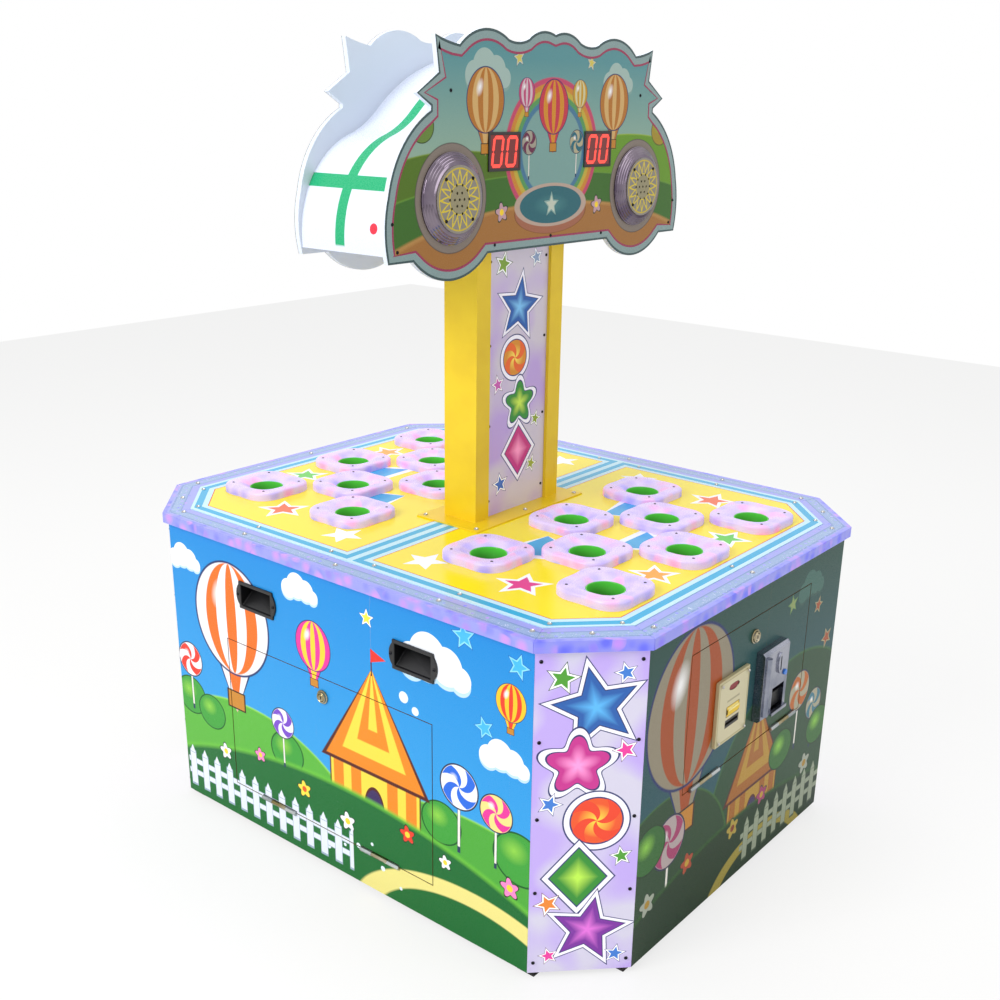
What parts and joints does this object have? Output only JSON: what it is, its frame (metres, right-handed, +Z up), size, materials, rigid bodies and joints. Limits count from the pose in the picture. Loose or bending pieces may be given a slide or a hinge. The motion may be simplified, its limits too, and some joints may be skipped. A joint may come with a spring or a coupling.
{
  "type": "mole pounding arcade machine",
  "caption": "Double-sided mole-pounding arcade cabinet: two lit hole decks back to back, a centre column with a contoured header, and doors for the coins.",
  "frame": {"origin": "on the floor, below the middle of the cabinet", "axes": "+Z up; X is the width; Y is the length, with the front player's end at -Y; the access door is on the -X side"},
  "size_m": [1.068, 1.3454, 1.6694],
  "materials": {
    "frame_steel": "black enamelled angle and tube",
    "foot_rubber": "moulded black rubber",
    "plywood": "sealed birch plywood",
    "printed_board": "board with a glossy printed film",
    "corner_acrylic": "printed opal acrylic, lit from behind",
    "handle_plastic": "black moulded ABS",
    "rim_acrylic": "clear extruded acrylic channel over coloured lamps",
    "playfield_print": "printed polycarbonate sheet",
    "sleeve_plastic": "green moulded plastic",
    "ring_plastic": "opal moulded plastic, lit from inside",
    "coil_steel": "enamelled coil frame",
    "mole_plastic": "brown moulded plastic",
    "column_sheet": "yellow powder-coated sheet",
    "column_acrylic": "printed opal acrylic, lit from behind",
    "header_print": "printed PVC board",
    "roof_sheet": "white powder-coated sheet",
    "chromed_plastic": "chrome-plated ABS",
    "grille_steel": "perforated sheet",
    "driver_alloy": "loudspeaker basket and magnet",
    "display_plastic": "dark red lens in a black frame",
    "case_plastic": "ventilated case",
    "galvanised_steel": "galvanised folded sheet",
    "lock_chrome": "plated steel and die-cast zinc",
    "mech_alloy": "grey enamelled casting",
    "button_plastic": "clear blue moulded plastic",
    "flap_steel": "polished sheet",
    "plate_plastic": "cream moulded plastic"
  },
  "bodies": {
    "cabinet": {"cabinet_frame": "frame_steel", "rubber_feet": "foot_rubber", "floor_board": "plywood", "left_side_panel": "printed_board", "right_side_panel": "printed_board", "end_panels": "printed_board", "corner_light_panels": "corner_acrylic", "carry_handles": "handle_plastic", "rim_strips": "rim_acrylic", "deck_boards": "plywood", "playfield_overlays": "playfield_print", "hole_sleeves": "sleeve_plastic", "light_rings": "ring_plastic", "drive_trays": "plywood", "solenoid_coils": "coil_steel", "column_shell": "column_sheet", "column_light_panels": "column_acrylic", "header_face_panels": "header_print", "header_floor": "roof_sheet", "roof_cover": "roof_sheet", "speaker_bezels": "chromed_plastic", "speaker_grilles": "grille_steel", "speaker_drivers": "driver_alloy", "score_displays": "display_plastic", "electronics": "case_plastic", "coin_boxes": "galvanised_steel", "door_hinge_frames": "galvanised_steel"},
    "side_door": {"side_door": "printed_board", "side_door_hardware": "lock_chrome"},
    "side_lock": {"side_door_lock": "lock_chrome"},
    "mole_front_1": {"mole_front_1": "mole_plastic"},
    "mole_front_2": {"mole_front_2": "mole_plastic"},
    "mole_front_3": {"mole_front_3": "mole_plastic"},
    "mole_front_4": {"mole_front_4": "mole_plastic"},
    "mole_front_5": {"mole_front_5": "mole_plastic"},
    "mole_front_6": {"mole_front_6": "mole_plastic"},
    "mole_front_7": {"mole_front_7": "mole_plastic"},
    "mole_front_8": {"mole_front_8": "mole_plastic"},
    "mole_back_1": {"mole_back_1": "mole_plastic"},
    "mole_back_2": {"mole_back_2": "mole_plastic"},
    "mole_back_3": {"mole_back_3": "mole_plastic"},
    "mole_back_4": {"mole_back_4": "mole_plastic"},
    "mole_back_5": {"mole_back_5": "mole_plastic"},
    "mole_back_6": {"mole_back_6": "mole_plastic"},
    "mole_back_7": {"mole_back_7": "mole_plastic"},
    "mole_back_8": {"mole_back_8": "mole_plastic"},
    "front_door": {"front_coin_door": "printed_board", "front_door_hardware": "lock_chrome", "front_coin_mech": "mech_alloy", "front_payment_plate": "plate_plastic"},
    "front_lock": {"front_door_lock": "lock_chrome"},
    "front_button": {"front_return_button": "button_plastic"},
    "front_flap": {"front_return_flap": "flap_steel"},
    "back_door": {"back_coin_door": "printed_board", "back_door_hardware": "lock_chrome", "back_coin_mech": "mech_alloy", "back_payment_plate": "plate_plastic"},
    "back_lock": {"back_door_lock": "lock_chrome"},
    "back_button": {"back_return_button": "button_plastic"},
    "back_flap": {"back_return_flap": "flap_steel"}
  },
  "joints": [
    {"name": "mole_front_1_rise", "type": "slide", "parent": "cabinet", "child": "mole_front_1", "axis": [0, 0, 1], "range_m": [0, 0.075]},
    {"name": "mole_front_2_rise", "type": "slide", "parent": "cabinet", "child": "mole_front_2", "axis": [0, 0, 1], "range_m": [0, 0.075]},
    {"name": "mole_front_3_rise", "type": "slide", "parent": "cabinet", "child": "mole_front_3", "axis": [0, 0, 1], "range_m": [0, 0.075]},
    {"name": "mole_front_4_rise", "type": "slide", "parent": "cabinet", "child": "mole_front_4", "axis": [0, 0, 1], "range_m": [0, 0.075]},
    {"name": "mole_front_5_rise", "type": "slide", "parent": "cabinet", "child": "mole_front_5", "axis": [0, 0, 1], "range_m": [0, 0.075]},
    {"name": "mole_front_6_rise", "type": "slide", "parent": "cabinet", "child": "mole_front_6", "axis": [0, 0, 1], "range_m": [0, 0.075]},
    {"name": "mole_front_7_rise", "type": "slide", "parent": "cabinet", "child": "mole_front_7", "axis": [0, 0, 1], "range_m": [0, 0.075]},
    {"name": "mole_front_8_rise", "type": "slide", "parent": "cabinet", "child": "mole_front_8", "axis": [0, 0, 1], "range_m": [0, 0.075]},
    {"name": "mole_back_1_rise", "type": "slide", "parent": "cabinet", "child": "mole_back_1", "axis": [0, 0, 1], "range_m": [0, 0.075]},
    {"name": "mole_back_2_rise", "type": "slide", "parent": "cabinet", "child": "mole_back_2", "axis": [0, 0, 1], "range_m": [0, 0.075]},
    {"name": "mole_back_3_rise", "type": "slide", "parent": "cabinet", "child": "mole_back_3", "axis": [0, 0, 1], "range_m": [0, 0.075]},
    {"name": "mole_back_4_rise", "type": "slide", "parent": "cabinet", "child": "mole_back_4", "axis": [0, 0, 1], "range_m": [0, 0.075]},
    {"name": "mole_back_5_rise", "type": "slide", "parent": "cabinet", "child": "mole_back_5", "axis": [0, 0, 1], "range_m": [0, 0.075]},
    {"name": "mole_back_6_rise", "type": "slide", "parent": "cabinet", "child": "mole_back_6", "axis": [0, 0, 1], "range_m": [0, 0.075]},
    {"name": "mole_back_7_rise", "type": "slide", "parent": "cabinet", "child": "mole_back_7", "axis": [0, 0, 1], "range_m": [0, 0.075]},
    {"name": "mole_back_8_rise", "type": "slide", "parent": "cabinet", "child": "mole_back_8", "axis": [0, 0, 1], "range_m": [0, 0.075]},
    {"name": "side_door_hinge", "type": "hinge", "parent": "cabinet", "child": "side_door", "pos_m": [-0.5245, 0.03, 0.098], "axis": [0, -1, 0], "range_deg": [0, 100]},
    {"name": "side_lock_turn", "type": "hinge", "parent": "side_door", "child": "side_lock", "pos_m": [-0.523, 0.03, 0.411], "axis": [-1, 0, 0], "range_deg": [0, 90]},
    {"name": "front_door_hinge", "type": "hinge", "parent": "cabinet", "child": "front_door", "pos_m": [0, -0.6465, 0.319], "axis": [1, 0, 0], "range_deg": [0, 120]},
    {"name": "front_lock_turn", "type": "hinge", "parent": "front_door", "child": "front_lock", "pos_m": [0, -0.645, 0.568], "axis": [0, -1, 0], "range_deg": [0, 90]},
    {"name": "front_button_press", "type": "slide", "parent": "front_door", "child": "front_button", "axis": [0, 1, 0], "range_m": [0, 0.0025], "stiffness_N_per_m": 150, "springref_m": -0.002},
    {"name": "front_flap_swing", "type": "hinge", "parent": "front_door", "child": "front_flap", "pos_m": [0.086, -0.657, 0.419], "axis": [1, 0, 0], "range_deg": [0, 55]},
    {"name": "back_door_hinge", "type": "hinge", "parent": "cabinet", "child": "back_door", "pos_m": [0, 0.6465, 0.319], "axis": [-1, 0, 0], "range_deg": [0, 120]},
    {"name": "back_lock_turn", "type": "hinge", "parent": "back_door", "child": "back_lock", "pos_m": [0, 0.645, 0.568], "axis": [0, 1, 0], "range_deg": [0, 90]},
    {"name": "back_button_press", "type": "slide", "parent": "back_door", "child": "back_button", "axis": [0, -1, 0], "range_m": [0, 0.0025], "stiffness_N_per_m": 150, "springref_m": -0.002},
    {"name": "back_flap_swing", "type": "hinge", "parent": "back_door", "child": "back_flap", "pos_m": [-0.086, 0.657, 0.419], "axis": [-1, 0, 0], "range_deg": [0, 55]}
  ]
}
